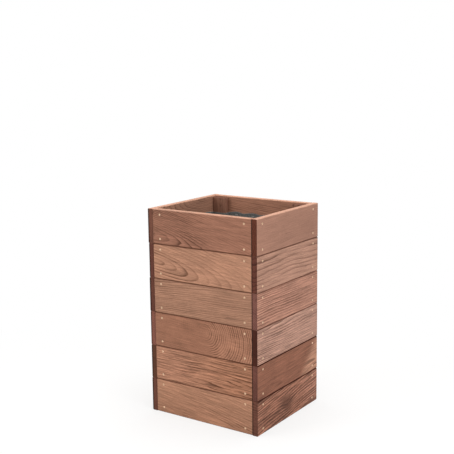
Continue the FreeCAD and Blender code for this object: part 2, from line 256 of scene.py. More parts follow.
def paintFloor():
    paint, b, shader = newFinish("paleFloor")
    b.feed(shader["Roughness"], studio["floorRough"])
    b.feed(shader["Specular IOR Level"], studio["floorShine"])
    coords = b.coords()
    mottle = b.ramp(b.cloudy(coords, *studio["mottle"])[0], *studio["mottleMix"])
    b.feed(shader["Base Color"], b.mixColour(mottle, linear(studio["floorColour"]), white))
    path = b.add("ShaderNodeLightPath")
    seen = b.maths("MAXIMUM", path["Is Camera Ray"], path["Is Glossy Ray"])
    away = b.ramp(b.vectors("LENGTH", coords), *studio["shadowReach"], studio["floorGlow"], 1.0)
    glow = b.add("ShaderNodeEmission", {"Color": white, "Strength": 1.0})[0]
    matt = b.tree.nodes["Principled BSDF"].outputs[0]
    both = b.add("ShaderNodeMixShader", {0: b.times(seen, away), 1: matt, 2: glow})[0]
    b.feed(b.tree.nodes["Material Output"].inputs["Surface"], both)
    return paint


def makeStudio():
    world = bpy.data.worlds.new("studioSky")
    scene.world = world
    world.use_nodes = True
    b = Bench(world.node_tree)
    sky = world.node_tree.nodes["Background"].inputs
    path = b.add("ShaderNodeLightPath")
    seen = b.maths("MAXIMUM", path["Is Camera Ray"], path["Is Glossy Ray"])
    seen = b.maths("MAXIMUM", seen, path["Is Transmission Ray"])
    b.feed(sky["Strength"], b.slope(seen, 0, 1, studio["skyLight"], 1.0))
    b.feed(sky["Color"], white)

    half = studio["floorSize"] / 2
    mesh = bpy.data.meshes.new("studioFloor")
    corners = [(-half, -half, 0), (half, -half, 0), (half, half, 0), (-half, half, 0)]
    mesh.from_pydata(corners, [], [(0, 1, 2, 3)])
    floor = newPiece("studioFloor", mesh)
    mesh.materials.append(paintFloor())

    for name, lamp in studio["lamps"].items():
        light = bpy.data.lights.new(name, "AREA")
        light.size = lamp["size"]
        light.energy = lamp["power"]
        holder = newPiece(name, light)
        holder.location = lamp["place"]
        towards = Vector(lamp["aim"]) - Vector(lamp["place"])
        holder.rotation_euler = towards.to_track_quat("-Z", "Y").to_euler()


makeStudio()
print("studio lit")


# wood finish, as cut from a log: growth rings, fibres, stain, knots, end grain and rubbed edges, with painted
# shade in the joints and along the end grain's edges and a painted highlight on the rim's top

woodMarks = {   # how fine each mark is: waves per metre along the board and across it, detail, roughness
    "bend": (2.6, 9), "ripple": (16, 70), "fibre": (48, 1100, 3, 0.6), "patch": (6, 24), "blotch": (11, 44),
    "hair": (130, 3400), "streak": (9, 290), "pool": (5, 13, 3, 0.55), "fleck": (55, 620),
    "dash": (75, 1300, 1), "pore": (900, 900), "rub": (30, 120, 3),
}
woodGrain = {   # most rows: from, to, then what that gives at both ends
    "ringRise": (0.1, 0.75, 0, 0.3), "ringSteep": (0.58, 0.9, 0, 0.7), "ringEnd": (0.94, 1.0, 1, 0),
    "ringLot": (0, 1, 0.4, 1.0), "patch": (0.34, 0.66, 0.45, 1.15), "blotch": (0.38, 0.62, 0.05, 1.45),
    "fleck": (0.57, 0.68, 0), "dash": (0.66, 0.74, 0), "pore": (0.35, 0.65, 0.82, 1.12),
    "crack": (0.67, 0.72, 0, 0.7), "rays": (46.0, 55.0),   # rays round the heart, waves along one
    "knotCore": (0.3, 1.25, 0.62, 0), "knotHalo": (0.7, 2.1, 0.78, 1.0),
    "rubLoss": (0.25, 0.75, 0, 0.0045), "rubEdge": (0.0022, 0.0046), "rimLightPatches": (0.25, 0.7, 0.5, 0.95),
    # painted shade along the end grain's inner and outer edges
    "paintedInnerShade": (0.0186, 0.0214, 0, 1), "paintedOuterShade": (0.0045, 0.0085, 1, 0), "endEdgeShade": 0.9,   # depth in metres
    "rippleStep": 0.0011, "fibreStep": 0.00035,   # metres that a ring wanders
    "spreads": {"ripple": 0.3, "fibre": 0.25, "streak": 0.2, "hair": 0.25, "knot": 0.5},   # of each noise
    "pool": (0.3, 0.7), "knotRagged": 0.5,
    "endStreaks": 0.5, "endContrast": 0.8, "endRough": 0.1,
    "lateGloss": 0.12, "fibreRough": (0.25, 0.75, -0.05, 0.06), "reliefDepth": 0.0006,
    "heights": {"late": 0.55, "fibre": 0.35, "hair": 0.2, "resin": -0.6, "pore": -0.6},
}


def woodFinish(name, finish):
    material, b, shader = newFinish(name)
    grain = woodGrain

    def stored(label, output="Fac"):
        return b.add("ShaderNodeAttribute", attribute_name=label)[output]

    def mark(label, space, output=0):
        along, across, *fine = woodMarks[label]
        return b.cloudy(b.scaled(space, (along, across, across)), 1, *fine)[output]

    def swing(label, value, size):   # from -size to size about the middle of a noise
        spread = grain["spreads"][label]
        return b.slope(value, 0.5 - spread, 0.5 + spread, -size, size)

    log = stored("logSpace", "Vector")
    board = stored("fibreSpace", "Vector")
    endGrain = stored("endGrain")
    side = b.without(endGrain)
    stain = b.mixColour(endGrain, stored("stain", "Color"), stored("endStain", "Color"))
    ringStep, contrast, wave = b.parts(stored("grainMake", "Vector"))
    streaks, patches, innerDark = b.parts(stored("surfaceMake", "Vector"))
    streaks = b.slope(endGrain, 0, 1, streaks, grain["endStreaks"])
    knotGap = b.vectors("LENGTH", b.scaled(stored("knotSpace", "Vector"), (1, 0, 1)))

    # growth rings: distance from the heart, bent slowly along the log and pushed aside by the knot
    bend = b.vectors("SUBTRACT", mark("bend", log, output=1), (0.5, 0.5, 0.5))
    bent = b.vectors("ADD", log, b.scaled(bend, b.combine(0.0, wave, wave)))
    radius = b.vectors("LENGTH", b.scaled(bent, (0, 1, 1)))
    ripple = mark("ripple", log)
    fibre = mark("fibre", board)
    radius = b.plus(radius, swing("ripple", ripple, grain["rippleStep"]))
    radius = b.plus(radius, swing("fibre", fibre, grain["fibreStep"]))
    spread = b.plus(1.0, b.times(knotGap, knotGap))
    radius = b.plus(radius, b.over(finish["knotPush"], spread))
    rings = b.over(radius, ringStep)
    share = b.maths("FRACT", rings)
    lot = b.add("ShaderNodeTexWhiteNoise", {"W": b.maths("FLOOR", rings)}, noise_dimensions="1D")[0]

    # dark late wood: a slow rise, a steep one, then the sudden end of the ring
    late = b.plus(b.ramp(share, *grain["ringRise"]), b.ramp(share, *grain["ringSteep"]))
    late = b.times(late, b.ramp(share, *grain["ringEnd"]))
    late = b.times(late, b.slope(lot, *grain["ringLot"]))
    late = b.times(late, b.ramp(mark("patch", log), *grain["patch"]))
    blotch = b.ramp(mark("blotch", board), *grain["blotch"])
    late = b.times(late, b.slope(patches, 0, 1, 1.0, blotch))
    late = b.maths("MULTIPLY", late, b.slope(endGrain, 0, 1, contrast, grain["endContrast"]), clamp=True)

    # colour, uneven along the fibres
    colour = b.mixColour(late, b.scaled(stain, finish["early"]), b.scaled(stain, finish["late"]))
    hair = mark("hair", board)
    streak = swing("streak", mark("streak", board), finish["streak"])
    uneven = b.plus(swing("fibre", fibre, finish["fibre"]), streak)
    tone = b.plus(1.0, b.times(uneven, streaks))
    pool = b.slope(mark("pool", log), *grain["pool"], 1 - finish["pool"], 1 + finish["pool"])
    tone = b.times(tone, pool)
    tone = b.plus(tone, swing("hair", hair, finish["hair"]))
    fleck = b.ramp(mark("fleck", board), *grain["fleck"], finish["fleck"])
    tone = b.plus(tone, b.times(fleck, streaks))
    resin = b.times(b.ramp(mark("dash", board), *grain["dash"], finish["dash"]), side)
    tone = b.times(tone, b.without(resin))
    colour = b.scaled(colour, tone)

    # end grain: pores and fine drying cracks that point at the heart
    pores = mark("pore", log)
    across = b.parts(bent)
    angle = b.maths("ARCTAN2", across["Z"], across["Y"])
    around, outward = grain["rays"]
    rays = b.cloudy(b.combine(b.times(angle, around), b.times(radius, outward)), 1, 2)[0]
    pitted = b.scaled(colour, b.slope(pores, *grain["pore"]))
    pitted = b.scaled(pitted, b.without(b.ramp(rays, *grain["crack"])))
    # painted shade along its two long edges: where it meets the next wall's board, and along the outer
    # rounded edge, shared out between the two
    depth = b.parts(board)["Y"]
    paintedInnerShade = b.times(innerDark, b.ramp(depth, *grain["paintedInnerShade"]))
    paintedOuterShade = b.times(b.minus(grain["endEdgeShade"], innerDark), b.ramp(depth, *grain["paintedOuterShade"]))
    pitted = b.scaled(pitted, b.without(b.plus(paintedInnerShade, paintedOuterShade)))
    colour = b.mixColour(endGrain, colour, pitted)

    # knot, rubbed edges, a painted highlight on the rim's top face and painted shade in the joints
    ragged = swing("knot", ripple, grain["knotRagged"])
    core = b.ramp(b.plus(knotGap, ragged), *grain["knotCore"])
    colour = b.mixColour(core, colour, b.scaled(stain, finish["knot"]))
    colour = b.scaled(colour, b.ramp(knotGap, *grain["knotHalo"]))
    rub = mark("rub", log)
    worn = b.plus(stored("edgeSpan"), b.slope(rub, *grain["rubLoss"]))
    worn = b.ramp(worn, *grain["rubEdge"], finish["rubbed"], 0)
    colour = b.mixColour(worn, colour, b.scaled(stain, finish["bare"]))
    # painted highlight: the rim's top face is made paler, as the top lamp lights it, in patches of the rub
    # noise
    pale = b.times(b.times(stored("openRim"), b.slope(rub, *grain["rimLightPatches"])), side)
    colour = b.mixColour(pale, colour, b.scaled(linear(finish["rim"])[:3], tone))
    # painted shade in the joints between courses and along the foot
    shade = b.times(b.times(stored("seamShade"), side), finish["seam"])
    colour = b.mixColour(shade, colour, b.scaled(stain, finish["seamShadeTone"]))
    b.feed(shader["Base Color"], colour)

    # gloss and relief
    rough = b.slope(late, 0, 1, finish["rough"], finish["rough"] - grain["lateGloss"])
    rough = b.plus(rough, b.slope(fibre, *grain["fibreRough"]))
    rough = b.maths("ADD", rough, b.times(endGrain, grain["endRough"]), clamp=True)
    b.feed(shader["Roughness"], rough)
    b.feed(shader["Specular IOR Level"], finish["shine"])
    marks = {"late": late, "fibre": fibre, "hair": hair, "resin": resin, "pore": b.times(pores, endGrain)}
    b.relief(shader, finish["relief"], grain["reliefDepth"], b.weighed(marks, grain["heights"]))
    return material


stainedFinish = {
    "early": (1.16, 1.15, 1.14), "late": (0.4, 0.34, 0.3), "knot": (0.34, 0.28, 0.26),
    "bare": (1.45, 1.45, 1.45),
    "fibre": 0.18, "streak": 0.25, "pool": 0.1, "hair": 0.1, "dash": 0.32, "fleck": 0.16, "rubbed": 0.4,
    # rim: colour of the painted highlight on a rim's top face; seam and its tone: painted shade in the joints
    "rim": (192, 147, 124), "seam": 1.0, "seamShadeTone": (0.2, 0.075, 0.02), "knotPush": 0.016,
    "rough": 0.74, "shine": 0.16, "relief": 0.5,
}
plainFinish = {
    "early": (1.08, 1.08, 1.08), "late": (0.74, 0.6, 0.46), "knot": (0.45, 0.3, 0.2),
    "bare": (1.12, 1.12, 1.14),
    "fibre": 0.07, "streak": 0.07, "pool": 0.06, "hair": 0.06, "dash": 0.24, "fleck": 0.06, "rubbed": 0.25,
    # rim: colour of the painted highlight on a rim's top face; seam and its tone: painted shade in the joints
    "rim": (212, 180, 138), "seam": 0.0, "seamShadeTone": (0.5, 0.5, 0.5), "knotPush": 0.016,
    "rough": 0.82, "shine": 0.2, "relief": 0.55,
}
stainedWood = woodFinish("stainedSoftwood", stainedFinish)
plainWood = woodFinish("plainSoftwood", plainFinish)
print("wood finishes mixed")


# sawn board: rounded profile swept along the grain, sunk holes cut in, then the log's own
# coordinates kept on the mesh for the finish

sawnBoard = {   # metres
    "faceCuts": 6, "edgeCuts": 3, "samePlace": 0.00001, "lastRing": 0.00005,
    "sinkSides": 24, "sinkTaper": 0.0032, "sinkLip": 0.0006, "sinkDepth": 0.0038,
    "knotFlat": 0.7, "jointReach": (0.0018, 0.0046, 1, 0), "jointDepth": (0.00005, 0.0005, 0, 1),
    "rimLightReach": (0.0009, 0.003, 1, 0), "endFacing": 0.9,
    "unevenScale": 14.0, "uneven": 0.0004, "crispOver": 34, "crispBetween": (5, 15),
}


def makeBoardTree():
    b, given = newTree("sawnBoard", {
        "Float": [
            "Length", "Width", "Thickness", "Planed off", "Rounded edge", "Eased end", "Bow", "Seam gap",
            "Seed", "Sink radius", "Fibre lean", "Ring step", "Grain left", "Grain right", "Wave", "Streaks",
            "Patches", "Inner dark", "Fade from", "Fade to", "Fade slant", "Joint below", "Joint above",
            "Open rim"],
        "Int": ["Rings along"], "Bool": ["Drilled"],
        "Vector": ["First hole", "Second hole", "Heart", "Lean", "Knot", "Turn", "Place"],
        "Color": ["Face stain", "Far stain", "End stain"], "Material": ["Finish"]})
    s = sawnBoard
    width, thickness = given["Width"], given["Thickness"]
    planed, eased, gap = given["Planed off"], given["Eased end"], given["Seam gap"]
    half = b.over(given["Length"], 2.0)

    # path, with one ring close to each end for the eased edge
    path = b.shape("CurvePrimitiveLine", {
        "Start": (0, 0, 0), "End": b.combine(given["Length"])}, mode="POINTS")
    path = b.shape("ResampleCurve", {"Curve": path, "Count": given["Rings along"]}, mode="COUNT")
    inner = b.over(b.minus(b.shape("InputIndex"), 1.0), b.minus(given["Rings along"], 3.0))
    along = b.times(b.minus(half, eased), b.minus(b.times(inner, 2.0), 1.0))
    along = b.maths("MINIMUM", b.maths("MAXIMUM", along, b.times(half, -1.0)), half)
    path = b.shape("SetPosition", {"Geometry": path, "Position": b.combine(along)})

    # profile
    profile = b.shape("CurvePrimitiveQuadrilateral", {"Width": thickness, "Height": width}, mode="RECTANGLE")
    profile = b.shape("SubdivideCurve", {"Curve": profile, "Cuts": s["faceCuts"]})
    profile = b.shape("FilletCurve", {
        "Curve": profile, "Count": s["edgeCuts"], "Radius": given["Rounded edge"]}, mode="POLY")
    body = b.shape("CurveToMesh", {"Curve": path, "Profile Curve": profile, "Fill Caps": True})
    body = b.shape("MergeByDistance", {"Geometry": body, "Distance": s["samePlace"]})

    # ease the sawn ends, then put the outer face on y = 0 and the lower edge on z = 0
    place = b.shape("InputPosition")
    atX, atY, atZ = b.parts(place)
    lastRing = b.maths("GREATER_THAN", b.maths("ABSOLUTE", atX), b.minus(half, s["lastRing"]))
    twice = b.times(eased, -2.0)
    pullIn = b.scaled(place, b.combine(0.0, b.over(twice, thickness), b.over(twice, width)))
    body = b.shape("SetPosition", {"Geometry": body, "Selection": lastRing, "Offset": pullIn})
    depth = b.plus(b.over(atY, thickness), 0.5)
    depth = b.plus(planed, b.times(depth, b.minus(thickness, planed)))
    rise = b.plus(b.over(atZ, width), 0.5)
    rise = b.plus(gap, b.times(rise, b.minus(width, b.times(gap, 2.0))))
    body = b.shape("SetPosition", {"Geometry": body, "Position": b.combine(atX, depth, rise)})

    # sunk holes, two at each end
    order = b.shape("InputIndex")
    side = b.without(b.times(b.maths("MODULO", order, 2.0), 2.0))
    second = b.maths("GREATER_THAN", order, 1.5)
    holes = [b.parts(given[label]) for label in ("First hole", "Second hole")]
    holeX, holeZ = [b.slope(second, 0, 1, holes[0][axis], holes[1][axis]) for axis in "XZ"]
    spots = b.shape("Points", {"Count": 4, "Position": b.combine(b.times(holeX, side), planed, holeZ)})
    sink = b.shape("MeshCone", {
        "Vertices": s["sinkSides"], "Radius Top": b.minus(given["Sink radius"], s["sinkTaper"]),
        "Radius Bottom": b.plus(given["Sink radius"], s["sinkLip"]), "Depth": s["sinkDepth"]})
    sink = b.shape("Transform", {
        "Geometry": sink, "Translation": (0, -s["sinkLip"], 0), "Rotation": (-quarter, 0, 0)})
    sinks = b.shape("InstanceOnPoints", {"Points": spots, "Instance": sink})
    sinks = b.shape("RealizeInstances", {"Geometry": sinks})
    cut = b.shape("MeshBoolean", {"Mesh 1": body, "Mesh 2": sinks}, operation="DIFFERENCE", solver="EXACT")
    made = b.shape("Switch", {"Switch": given["Drilled"], "False": body, "True": cut}, input_type="GEOMETRY")

    def keep(label, kind, value, domain="POINT"):
        nonlocal made
        made = b.shape("StoreNamedAttribute", {
            "Geometry": made, "Name": label, "Value": value}, data_type=kind, domain=domain)

    # coordinates of the log, the fibres and the knot
    place = b.shape("InputPosition")
    atX, atY, atZ = b.parts(place)
    sway = b.scaled(given["Lean"], b.combine(atX, atX, atX))
    inLog = b.vectors("SUBTRACT", b.vectors("SUBTRACT", place, given["Heart"]), sway)
    keep("logSpace", "FLOAT_VECTOR", inLog)
    fibreZ = b.minus(atZ, b.times(given["Fibre lean"], atX))
    keep("fibreSpace", "FLOAT_VECTOR", b.combine(b.parts(inLog)["X"], atY, fibreZ))
    knotX, knotSize, knotZ = b.parts(given["Knot"])
    fromKnot = b.vectors("SUBTRACT", place, b.combine(knotX, 0.0, knotZ))
    flatter = b.combine(b.over(s["knotFlat"], knotSize), 0.0, b.over(1.0, knotSize))
    keep("knotSpace", "FLOAT_VECTOR", b.scaled(fromKnot, flatter))

    # distance from the long edges, painted shade of the joints, painted top light on the rim, and which faces
    # are end grain
    behind = b.minus(atY, planed)
    fromTop = b.minus(width, atZ)
    nearY = b.maths("MINIMUM", behind, b.minus(thickness, atY))
    nearZ = b.maths("MINIMUM", atZ, fromTop)
    keep("edgeSpan", "FLOAT", b.maths("MAXIMUM", nearY, nearZ))
    # painted shade along each joint and along the foot, strongest deep in the seam
    low = b.times(given["Joint below"], b.ramp(atZ, *s["jointReach"]))
    high = b.times(given["Joint above"], b.ramp(fromTop, *s["jointReach"]))
    keep("seamShade", "FLOAT", b.times(b.plus(low, high), b.ramp(behind, *s["jointDepth"])))
    # painted top light on the rim's top face, fading out just below the top
    keep("openRim", "FLOAT", b.times(given["Open rim"], b.ramp(fromTop, *s["rimLightReach"])))
    facing = b.maths("ABSOLUTE", b.parts(b.shape("InputNormal"))["X"])
    keep("endGrain", "FLOAT", b.maths("GREATER_THAN", facing, s["endFacing"]), "FACE")

    # stain and grain, which may change along the board
    slant = b.times(given["Fade slant"], b.minus(atZ, b.over(width, 2.0)))
    fade = b.ramp(b.plus(atX, slant), given["Fade from"], given["Fade to"])
    grain = b.slope(fade, 0.0, 1.0, given["Grain left"], given["Grain right"])
    keep("grainMake", "FLOAT_VECTOR", b.combine(given["Ring step"], grain, given["Wave"]))
    keep("surfaceMake", "FLOAT_VECTOR", b.combine(given["Streaks"], given["Patches"], given["Inner dark"]))
    keep("stain", "FLOAT_COLOR", b.mixColour(fade, given["Face stain"], given["Far stain"]))
    keep("endStain", "FLOAT_COLOR", given["End stain"])

    # a little bow and unevenness of the outer face, always inwards
    start = b.vectors("ADD", place, b.combine(given["Seed"], given["Seed"], 0.0))
    uneven = b.cloudy(start, s["unevenScale"], 1.0)[0]
    tryX = b.over(atX, half)
    hollow = b.times(given["Bow"], b.without(b.times(tryX, tryX)))
    inwards = b.plus(hollow, b.times(uneven, s["uneven"]))
    inwards = b.times(inwards, b.without(b.over(atY, thickness)))
    made = b.shape("SetPosition", {"Geometry": made, "Offset": b.combine(0.0, inwards, 0.0)})

    # crisp at the ends and hole rims, soft over the rounded edges
    made = b.shape("SetShadeSmooth", {"Geometry": made, "Shade Smooth": True}, domain="FACE")
    bend = b.shape("InputMeshEdgeAngle")
    least, most = [math.radians(angle) for angle in s["crispBetween"]]
    slight = b.times(b.maths("GREATER_THAN", bend, least), b.maths("LESS_THAN", bend, most))
    crisp = b.plus(b.maths("GREATER_THAN", bend, math.radians(s["crispOver"])), slight)
    made = b.shape("SetShadeSmooth", {
        "Geometry": made, "Selection": crisp, "Shade Smooth": False}, domain="EDGE")
    turn = b.add("FunctionNodeEulerToRotation", {0: given["Turn"]})[0]
    made = b.shape("Transform", {"Geometry": made, "Translation": given["Place"], "Rotation": turn})
    return endTree(b, made, given["Finish"])


boardTree = makeBoardTree()

anyBoard = {   # what a board has where its own look doesn't say otherwise, in mm
    "planed": 0.0, "edge": 3.3, "easedEnd": 0.5, "bow": 0.2, "gap": 0.12, "sinkRadius": 4.75,
    "ringGap": 10, "fewestRings": 12,
    "knot": (9000, 0, 1), "fade": (-150, 150), "slant": 0.0, "streaks": 1.0, "patches": 0.0,
    # the joint shares are painted shade in the joints, the rim share is painted top light on the rim, and
    # innerDark shares out the painted shade on the end grain's edges
    "innerDark": 0.45, "jointBelow": 0.0, "jointAbove": 0.0, "openRim": 0.0, "mostFibreLean": 0.07,
    "seedStep": 1.37, "logStep": 3.1,   # how far apart two boards lie in the noise and in the log
}


def sawBoard(name, node, slot, size, spot, look, finish, holes=None):
    width, thickness, length = size
    look = {**anyBoard, "farStain": look["stain"], **look}
    knotX, knotZ, knotSize = look["knot"]
    behind, above = look["heart"]
    leanY, leanZ = look["lean"]
    steepest = look["mostFibreLean"]
    values = {
        "Length": length * mm, "Width": width * mm, "Thickness": thickness * mm,
        "Rings along": max(look["fewestRings"], int(length / look["ringGap"])),
        "Seed": look["seed"] * look["seedStep"],
        "Heart": (look["seed"] * look["logStep"], behind * mm, above * mm), "Lean": (0.0, leanY, leanZ),
        "Fibre lean": max(-steepest, min(steepest, leanZ)), "Knot": (knotX * mm, knotSize * mm, knotZ * mm),
        "Grain left": look["grain"][0], "Grain right": look["grain"][1],
        "Fade from": look["fade"][0] * mm, "Fade to": look["fade"][1] * mm,
        "Turn": spot["turn"], "Place": [c * mm for c in spot["place"]],
        "Drilled": holes is not None, "Finish": finish,
    }
    lengths = {"Planed off": "planed", "Rounded edge": "edge", "Eased end": "easedEnd", "Bow": "bow",
               "Seam gap": "gap", "Sink radius": "sinkRadius", "Ring step": "ring", "Wave": "wave"}
    shares = {"Streaks": "streaks", "Patches": "patches", "Inner dark": "innerDark", "Fade slant": "slant",
              "Joint below": "jointBelow", "Joint above": "jointAbove", "Open rim": "openRim"}
    colours = {"Face stain": "stain", "Far stain": "farStain", "End stain": "endStain"}
    values.update({label: look[key] * mm for label, key in lengths.items()})
    values.update({label: look[key] for label, key in shares.items()})
    values.update({label: linear(look[key]) for label, key in colours.items()})
    for label, (x, z) in zip(("First hole", "Second hole"), holes or ()):
        values[label] = (x * mm, 0.0, z * mm)
    piece = newPiece(name)
    growMesh(piece, boardTree, values)
    hand(piece, slot, node)


# wall boards: course 1 lies on the floor, course 6 is the rim, and rows of six start with course 1
# heart: how far the log's middle lies behind the face and above the lower edge; lean: its slope along it
# grain: contrast of the rings at the left and right end; streaks, patches: how uneven the stain is

wallBoards = {
    "width": 130, "thickness": 24, "length": 428, "courses": 6, "screwZ": (20, 110),
    "walls": {
        "front": {"turn": 0, "place": (0, -214), "screwX": 184},
        "right": {"turn": 90, "place": (238, 0), "screwX": 178},
        "back": {"turn": 180, "place": (0, 214), "screwX": 184},
        "left": {"turn": 270, "place": (-238, 0), "screwX": 178},
    },
    "planed": {"left": (0.4, 1.2, 0.9, 0.1, 1.8, 0.2), "right": (0.1, 0.2, 0.0, 0.3, 0.1, 0.2)},
    "mostPlaned": 0.9, "mostBow": 0.5,
    "innerDark": {"right": 0.8, "left": 0.25},   # share of the painted shade on the end grain at the inner edge, against the outer edge
    "jointShade": {   # painted shade in each joint, from the foot on the floor up to the rim
        "right": (0.62, 1.5, 1.6, 0.62, 0.56, 0.62, 0.0),
        "others": (0.62, 0.68, 0.64, 0.58, 0.6, 0.66, 0.0),
    },
    "endStains": {
        "right": [(101, 64, 52), (99, 62, 53), (68, 33, 23), (116, 76, 67), (94, 53, 42), (90, 48, 34)],
        "left": [(102, 63, 51), (88, 55, 40), (122, 78, 66), (94, 57, 46), (96, 57, 47), (106, 68, 55)],
    },
    "endShade": 0.66,   # end grain of the other walls, against the face
    "seedBlock": 10, "drawSeed": 500,
}
boardLooks = {
    "front6": {"stain": (143, 100, 81), "heart": (56, -8), "lean": (0.12, -0.2), "ring": 6.2,
               "grain": (1.5, 0.4), "wave": 12},
    "front5": {"stain": (167, 123, 99), "heart": (44, 24), "lean": (0.2, -0.2), "ring": 10.5,
               "grain": (1.0, 0.35), "wave": 16},
    "front4": {"stain": (156, 116, 94), "heart": (84, 170), "lean": (0.02, 0.03), "ring": 5.2,
               "grain": (1.0, 0.8), "wave": 16},
    "front3": {"stain": (142, 99, 78), "farStain": (159, 113, 90), "fade": (5, 60), "heart": (-8, 90),
               "lean": (0.9, -0.12), "ring": 7.8, "grain": (0.2, 1.8), "wave": 10, "streaks": 0.9},
    "front2": {"stain": (160, 115, 92), "farStain": (155, 109, 84), "fade": (-150, 190), "heart": (50, -60),
               "lean": (0.05, 0.0), "ring": 9.0, "grain": (0.9, 2.6), "wave": 60, "streaks": 1.8,
               "patches": 0.8},
    "front1": {"stain": (160, 117, 93), "heart": (70, -50), "lean": (0.06, -0.2), "ring": 8.5,
               "grain": (0.3, 0.75), "wave": 18, "streaks": 1.1, "patches": 0.7},
    "right6": {"stain": (151, 112, 95), "heart": (120, 60), "lean": (0.0, 0.02), "ring": 7.0,
               "grain": (0.12, 0.12), "wave": 12, "streaks": 0.5},
    "right5": {"stain": (165, 126, 108), "heart": (60, 205), "lean": (0.03, -0.04), "ring": 17.0,
               "grain": (0.9, 0.75), "wave": 56},
    "right4": {"stain": (166, 122, 104), "heart": (66, -36), "lean": (0.02, 0.0), "ring": 6.8,
               "grain": (1.4, 1.2), "wave": 22, "streaks": 1.4},
    "right3": {"stain": (171, 133, 117), "heart": (110, 160), "lean": (0.02, -0.02), "ring": 5.0,
               "grain": (1.7, 1.0), "wave": 18, "streaks": 1.5},
    "right2": {"stain": (129, 86, 68), "farStain": (172, 128, 105), "fade": (118, 186), "slant": -0.9,
               "heart": (62, 30), "lean": (0.03, 0.05), "ring": 7.0, "grain": (0.4, 1.3), "wave": 30,
               "streaks": 1.2, "patches": 0.4},
    "right1": {"stain": (146, 101, 82), "farStain": (162, 116, 97), "fade": (50, 200), "heart": (24, -44),
               "lean": (0.02, 0.14), "ring": 11.0, "grain": (4.2, 4.2), "wave": 40, "knot": (-14, 62, 28),
               "streaks": 2.8, "patches": 0.75},
}
otherLooks = {   # limits of the seeded boards
    "shade": (0.86, 1.06), "stains": [(166, 122, 100), (160, 114, 92), (170, 128, 110), (150, 106, 86)],
    "behind": (15, 95), "above": (-20, 150), "leanY": (0.01, 0.2), "leanZ": (-0.08, 0.08),
    "ring": (3.8, 6.2), "grain": (0.3, 1.0), "wave": (12, 28),
    "knotty": 0.35, "knotX": (-150, 150), "knotZ": (30, 100), "knotSize": (7, 15),
}


def anyLook(seed):
    # a seeded board for the walls that the camera doesn't see
    pick = random.Random(seed)
    draw = otherLooks
    shade = pick.uniform(*draw["shade"])
    look = {"stain": tuple(c * shade for c in pick.choice(draw["stains"]))}
    look["heart"] = (pick.uniform(*draw["behind"]), pick.uniform(*draw["above"]))
    look["lean"] = (pick.choice([-1, 1]) * pick.uniform(*draw["leanY"]), pick.uniform(*draw["leanZ"]))
    look["ring"] = pick.uniform(*draw["ring"])
    look["grain"] = (pick.uniform(*draw["grain"]), pick.uniform(*draw["grain"]))
    look["wave"] = pick.uniform(*draw["wave"])
    if pick.random() < draw["knotty"]:
        look["knot"] = tuple(pick.uniform(*draw[key]) for key in ("knotX", "knotZ", "knotSize"))
    return look


def makeWalls():
    planed = {}
    s = wallBoards
    size = (s["width"], s["thickness"], s["length"])
    for number, (wall, spot) in enumerate(s["walls"].items()):
        for course in range(1, s["courses"] + 1):
            seed = number * s["seedBlock"] + course
            pick = random.Random(s["drawSeed"] + seed)
            look = dict(boardLooks.get(wall + str(course)) or anyLook(seed))
            look["seed"] = seed
            look["innerDark"] = s["innerDark"].get(wall, anyBoard["innerDark"])
            ends = s["endStains"].get(wall)
            look["endStain"] = ends[course - 1] if ends else tuple(c * s["endShade"] for c in look["stain"])
            given = s["planed"].get(wall)
            look["planed"] = given[course - 1] if given else pick.uniform(0.0, s["mostPlaned"])
            look["bow"] = pick.uniform(0.0, s["mostBow"])
            # painted shade in the joints below and above, and painted top light on the rim course only
            shade = s["jointShade"].get(wall, s["jointShade"]["others"])
            look["jointBelow"], look["jointAbove"] = shade[course - 1:course + 1]
            look["openRim"] = 1.0 if course == s["courses"] else 0.0
            planed[wall, course] = look["planed"]
            foot = s["width"] * (course - 1)
            at = {"turn": (0, 0, math.radians(spot["turn"])), "place": (*spot["place"], foot)}
            holes = [(spot["screwX"], z) for z in s["screwZ"]]
            sawBoard(f"{wall}Board{course}", f"{wall}_board_{course}", "stained_wood", size, at, look,
                     stainedWood, holes)
    return planed


planedOff = makeWalls()
print("24 wall boards sawn")


# corner posts

cornerPosts = {
    "width": 60, "thickness": 24, "length": 764, "middle": 392, "inner": 154, "outer": 214, "face": 190,
    "endStain": (104, 66, 52), "lookSeed": 80, "seed": 60,
}


def makePosts():
    s = cornerPosts
    size = (s["width"], s["thickness"], s["length"])
    front, back = (0, -quarter, 0), (0, -quarter, math.pi)
    # the width runs towards -X on the front pair and towards +X on the back pair
    spots = {
        "frontLeft": ("front_left_post", front, (-s["inner"], -s["face"], s["middle"])),
        "frontRight": ("front_right_post", front, (s["outer"], -s["face"], s["middle"])),
        "backLeft": ("back_left_post", back, (-s["outer"], s["face"], s["middle"])),
        "backRight": ("back_right_post", back, (s["inner"], s["face"], s["middle"])),
    }
    for number, (name, (node, turn, place)) in enumerate(spots.items()):
        look = anyLook(s["lookSeed"] + number)
        look.update({"seed": s["seed"] + number, "gap": 0.0, "endStain": s["endStain"]})
        sawBoard(name + "Post", node, "stained_wood", size, {"turn": turn, "place": place}, look, stainedWood)


makePosts()
print("corner posts set")


# raised floor: two bearers and five slats in plain wood

raisedFloor = {
    "bearer": (40, 24, 426), "bearerFoot": 30, "bearerFace": 142,
    "bearerScrewX": (169, 199), "bearerScrewZ": 40 / 3,
    "slatCount": 5, "slatWidth": 76, "slatThickness": 18, "slatEdge": 2.4, "slatTop": 88, "slatStep": 84,
    "longSlat": 378, "shortSlat": 330, "slatScrewX": 154, "noHole": 2000,   # noHole lies far off the slat
    "woodTones": [(205, 172, 128), (198, 162, 116), (212, 180, 138), (201, 168, 122)],
    "endTone": (168, 128, 84),
    "bearerSeeds": (120, 70), "slatSeeds": (140, 80),   # for the look and for the place in the log
}


